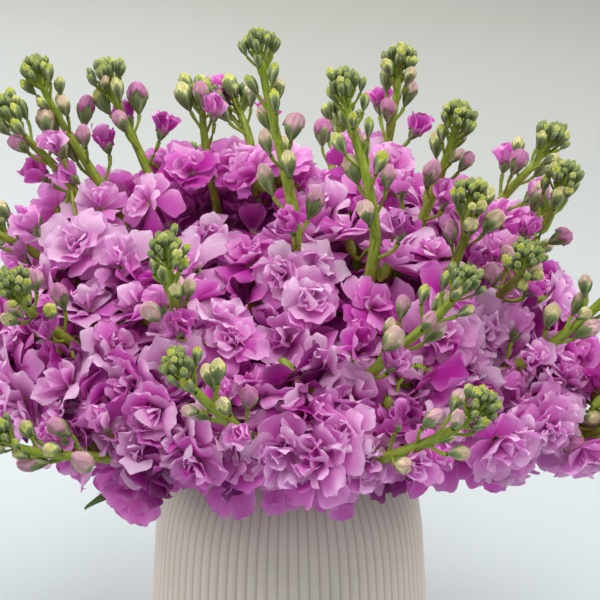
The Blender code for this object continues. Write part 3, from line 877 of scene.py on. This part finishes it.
def add_bud(parts, rng, line, above, bud):
    """Add one bud or half-open floret and its stalk to a spike, at a place along its stem."""
    root = np.array([np.interp(bud["place"], above, line[:, i]) for i in range(3)])
    before, after = (
        np.array([np.interp(bud["place"] + shift, above, line[:, i]) for i in range(3)]) for shift in (-3, 3)
    )
    ahead = unit(after - before)
    side, _ = frames_along(ahead[None], np.array([bud["turn"]]))
    leave = unit(ahead * math.cos(bud["lean"]) + side[0] * math.sin(bud["lean"]) + np.array((0, 0, 0.3)))
    facing = unit(leave * 0.7 + ahead * 0.5 + np.array((0, 0, 0.25)) + rng.normal(0, bud["sway"], 3))
    base = root + leave * bud["stalk"]
    thick = bud["thick"]
    sides, rows = (4, 3) if bud["small"] else (6, 5)
    tube, where = stalk_grid(root, leave, base, facing, (thick, thick * 0.8, thick * 1.2), sides, rows)
    parts.grids(tube, where, around=True, kind=1)
    spin = rng.uniform(0, 6.28)
    sides = 8 if bud["small"] else 20
    grid, places = bud_grid(bud["length"], bud["width"], bud["stage"], rng.uniform(0, 1), sides)
    parts.grids(placed(grid, base, facing, spin, 1.0), places, around=True)
    if bud["open"]:
        grid, places = petal_grid(rng, HALF_OPEN_WHORLS, bud["open"], 0.9)
        tone = rng.uniform(-0.45, 0.05)
        parts.grids(placed(grid, base + facing * bud["length"] * 0.25, facing, spin, 1.0),
                    np.clip(places + (0, 0, tone), (-1, 0, 0), (1, 1, 1)), kind=2)


def build_buds(number, line, materials):
    """Set the buds along one spike: half-open ones by the petals, loose ones above, and a crown at its tip."""
    rng = np.random.default_rng(300 + number)
    above = along_line(line)
    first = above[int(np.argmin(np.linalg.norm(line - np.array(SPIKES[number - 1][0]), axis=1)))]
    last = above[-1]
    parts = Parts()
    start = rng.uniform(0, 6.28)
    loose = 5 + int((last - first) / 9)
    for k in range(HALF_OPEN_BUDS + loose + CROWN_BUDS):
        bud = {"turn": start + k * GOLDEN_ANGLE + rng.uniform(-0.35, 0.35), "small": False, "open": 0.0}
        if k < HALF_OPEN_BUDS:
            bud.update(place=first - 6 + 7 * k, lean=math.radians(rng.uniform(38, 60)), stalk=rng.uniform(14, 19),
                       length=11.0, width=7.0, stage=1.0, sway=0.2, thick=1.1, open=rng.uniform(14, 17))
        elif k < HALF_OPEN_BUDS + loose:
            share = (k - HALF_OPEN_BUDS) / (loose - 1)
            size = (1 - 0.42 * share) * rng.uniform(0.82, 1.15)
            stage = float(np.clip(0.86 - 0.66 * share + rng.normal(0, 0.13), 0.08, 0.95))
            span = last - CROWN_LENGTH - 0.5 * CROWN_DROP - first
            bud.update(place=first + 4 + span * share**0.7, stage=stage, sway=0.16, thick=0.95,
                       lean=math.radians(rng.uniform(36, 62) - 12 * share),
                       stalk=rng.uniform(11, 17) * (1 - 0.42 * share),
                       length=(13.0 + 4.0 * stage) * size,
                       width=(5.7 + 4.0 * stage) * size * rng.uniform(0.88, 1.14))
        else:
            share = (k - HALF_OPEN_BUDS - loose + 0.5) / CROWN_BUDS
            size = rng.uniform(0.88, 1.12) * (1 - 0.28 * share)
            stage = rng.uniform(0.34, 0.55) if rng.uniform() < 0.28 else rng.uniform(0.0, 0.18)
            place = last - CROWN_DROP - CROWN_LENGTH * (1 - share)
            bud.update(place=place, lean=math.radians(54 * (1 - share) ** 0.8 + 3),
                       stalk=3.0 + 7.5 * (1 - share) ** 0.6, stage=stage, sway=0.12, thick=0.65, small=True,
                       length=8.4 * size, width=(3.6 + 2.6 * stage) * size)
        add_bud(parts, rng, line, above, bud)
    name = f"buds_{number:02d}"
    add_piece(name, parts.mesh(name), materials, "flower_head", f"flower_head_{number:02d}")


LEAVES = (
    (21, 12.0, (-68, -60, 10), (-102, -66, -8)),
    (23, 12.0, (72, -30, 6), (90, -34, 0)),
    (26, 12.0, (22, 72, 6), (22, 92, -14)),
)
LEAF_WIDTH = 13.0


def build_leaf(number, line, place, middle, tip, material):
    """Make one leaf: a thin blade that arches down from the underside of its stem, with a wavy edge."""
    rng = np.random.default_rng(900 + number)
    above = along_line(line)
    at = int(np.argmin(abs(above - place)))
    along = unit(line[at + 1] - line[at - 1])
    under = unit(along * along[2] - (0, 0, 1))
    root = line[at] + under * (STEM_RADIUS - 0.3)
    rows, columns = 40, 13
    t = np.linspace(0, 1, rows)[:, None]
    rib = root * (1 - t) ** 2 + np.array(middle) * (2 * t * (1 - t)) + np.array(tip) * t**2
    ahead = unit(np.gradient(rib, axis=0))
    side = unit(np.cross(ahead, (0, 0, 1)))
    up = np.cross(side, ahead)
    u = np.linspace(-1, 1, columns)[None, :, None]
    v = t[:, None]
    half = LEAF_WIDTH / 2 * (0.16 + 0.84 * np.sin(np.pi * np.minimum(1.0, v**0.8)) ** 0.75)
    wave = 0.8 * np.sin(v * 17 + rng.uniform(0, 6.28) + 1.5 * u) * np.abs(u) ** 2 * np.sin(np.pi * v)
    lift = 1.6 * np.abs(u) ** 1.4 * np.sin(np.pi * v) ** 0.5 + wave
    points = rib[:, None] + side[:, None] * u * half + up[:, None] * lift
    under_side = points - up[:, None] * 0.5 * (1 - 0.9 * np.abs(u) ** 6)
    places = np.stack(np.broadcast_arrays(u[..., 0], v[..., 0], np.zeros((rows, columns))), axis=-1)
    both = np.concatenate([points, under_side[:, ::-1]], axis=1)
    place_both = np.concatenate([places, places[:, ::-1]], axis=1)
    parts = Parts()
    parts.grids(both[None], place_both[None], around=True)
    name = f"leaf_{number:02d}"
    add_piece(f"leaf_blade_{number:02d}", parts.mesh(name), [material], "leaf", name)


# The stage: camera, floor and light

def point_at(obj, place, target):
    """Put an object at a place, looking at a target, both in metres."""
    obj.location = Vector(place)
    obj.rotation_euler = (Vector(target) - Vector(place)).to_track_quat("-Z", "Y").to_euler()


def build_stage():
    """Add the camera, the pale floor and the soft studio light."""
    scene = bpy.context.scene
    scene.view_settings.view_transform = "Standard"
    target = CAMERA_TARGET * MM
    away = np.array((0.0, -math.cos(CAMERA_ELEVATION), math.sin(CAMERA_ELEVATION)))
    camera = bpy.data.objects.new("camera", bpy.data.cameras.new("camera"))
    camera.data.sensor_width = SENSOR_MM
    camera.data.lens = FOCAL_PX / IMAGE_PX * SENSOR_MM
    camera.data.clip_end = 50.0
    point_at(camera, target + away * CAMERA_DISTANCE * MM, target)
    scene.collection.objects.link(camera)
    scene.camera = camera

    mesh = bpy.data.meshes.new("floor")
    mesh.from_pydata([(-8, -8, 0), (8, -8, 0), (8, 8, 0), (-8, 8, 0)], [], [(0, 1, 2, 3)])
    mesh.materials.append(floor_material())
    floor = bpy.data.objects.new("floor", mesh)
    scene.collection.objects.link(floor)

    world = bpy.data.worlds.new("studio")
    world.use_nodes = True
    world.node_tree.nodes["Background"].inputs[0].default_value = (0.93, 0.97, 1.0, 1.0)
    world.node_tree.nodes["Background"].inputs[1].default_value = 0.45
    scene.world = world
    for name, place, size, power, colour in (
        ("window_back", (-0.5, 1.9, 1.7), 1.6, 44.0, (1.0, 0.99, 0.97)),
        ("left", (-1.7, -0.3, 1.1), 1.1, 16.0, (1.0, 0.98, 0.95)),
        ("right", (1.7, -0.1, 1.2), 1.1, 17.0, (1.0, 0.98, 0.96)),
        ("top", (0.1, -0.5, 2.0), 1.2, 28.0, (1.0, 1.0, 1.0)),
    ):
        light = bpy.data.objects.new(name, bpy.data.lights.new(name, "AREA"))
        light.data.size = size
        light.data.energy = power
        light.data.color = colour
        point_at(light, place, (0.0, 0.0, 0.24))
        scene.collection.objects.link(light)


build_stage()
petal, bud, stem = petal_material(), bud_material(), stem_material()
stem_lines = [stem_line(*spike, azimuth, 90) for spike, azimuth in zip(SPIKES, ring_azimuths())]
build_vase(ceramic_material())
for i, stem_points in enumerate(stem_lines):
    build_stalk(i + 1, stem_points, stem)
    build_buds(i + 1, stem_points, [bud, stem, petal])
build_florets(stem_lines, [petal, stem])
leaf_green = leaf_material()
for i, (spike, *leaf) in enumerate(LEAVES):
    build_leaf(i + 1, stem_lines[spike - 1], *leaf, leaf_green)
